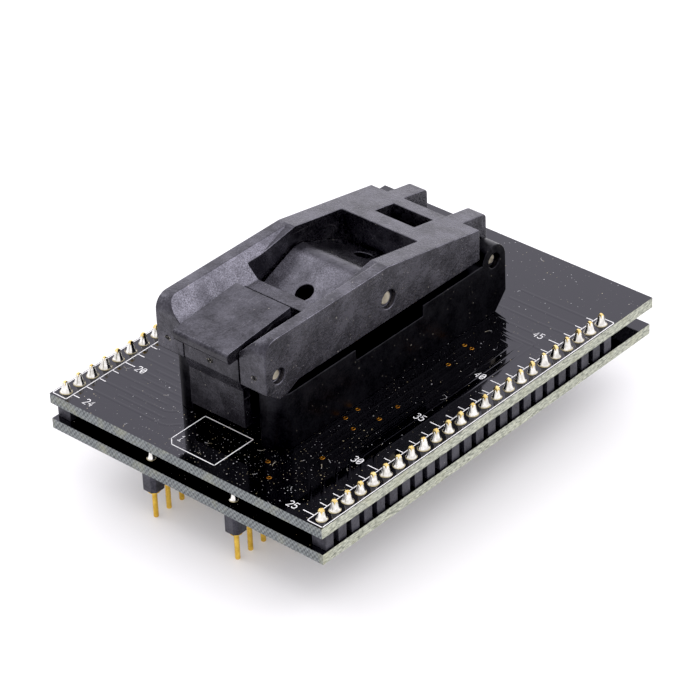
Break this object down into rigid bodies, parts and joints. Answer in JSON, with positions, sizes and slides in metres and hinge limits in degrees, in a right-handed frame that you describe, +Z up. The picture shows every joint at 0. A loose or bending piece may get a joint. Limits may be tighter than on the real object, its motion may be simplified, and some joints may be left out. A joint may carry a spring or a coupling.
{
  "type": "ic programming adapter",
  "caption": "Chip programming adapter: clamshell test socket with hinged lid, sprung latch and rocking pusher on stacked boards joined by pin strips, with plug pins below.",
  "frame": {"origin": "middle of the boards in plan, at the level of the plug pins' tips", "axes": "+Z up out of the socket, +Y along the rows towards the hinge, +X to the right as seen from the latch"},
  "size_m": [0.05, 0.07, 0.0324],
  "materials": {
    "board": "glossy black solder mask on glass-epoxy laminate",
    "strip": "moulded black nylon",
    "gold_pin": "gold plated",
    "solder": "bright solder",
    "base_plastic": "black glass-filled moulding, satin",
    "contact": "gold plated spring bronze",
    "lid_plastic": "charcoal glass-filled moulding, speckled satin",
    "shaft_steel": "turned steel",
    "spring_steel": "drawn wire"
  },
  "bodies": {
    "base": {"upper_board": "board", "lower_board": "board", "left_spacer_strip": "strip", "right_spacer_strip": "strip", "left_link_pins": "gold_pin", "right_link_pins": "gold_pin", "left_top_solder": "solder", "right_top_solder": "solder", "left_bottom_solder": "solder", "right_bottom_solder": "solder", "left_plug_strip": "strip", "right_plug_strip": "strip", "left_plug_pins": "gold_pin", "right_plug_pins": "gold_pin", "left_plug_solder": "solder", "right_plug_solder": "solder", "socket_base": "base_plastic", "contact_block": "base_plastic", "left_contacts": "contact", "right_contacts": "contact", "left_contact_solder": "solder", "right_contact_solder": "solder", "hinge_shaft": "shaft_steel", "hinge_spring": "spring_steel"},
    "lid": {"lid": "lid_plastic", "pusher_shaft": "shaft_steel", "latch_shaft": "shaft_steel", "latch_spring": "spring_steel"},
    "pusher": {"pusher": "lid_plastic"},
    "latch": {"latch": "lid_plastic"}
  },
  "joints": [
    {"name": "lid_hinge", "type": "hinge", "parent": "base", "child": "lid", "pos_m": [0, 0.01843, 0.0224], "axis": [-1, 0, 0], "range_deg": [0, 100], "deforming": ["hinge_spring"]},
    {"name": "pusher_rock", "type": "hinge", "parent": "lid", "child": "pusher", "pos_m": [0, -0.0037, 0.02722], "axis": [1, 0, 0], "range_deg": [-2, 2]},
    {"name": "latch_pivot", "type": "hinge", "parent": "lid", "child": "latch", "pos_m": [0, -0.0257, 0.02643], "axis": [-1, 0, 0], "range_deg": [0, 12], "stiffness_Nm_per_rad": 0.02, "springref_deg": -5.73, "deforming": ["latch_spring"]}
  ]
}
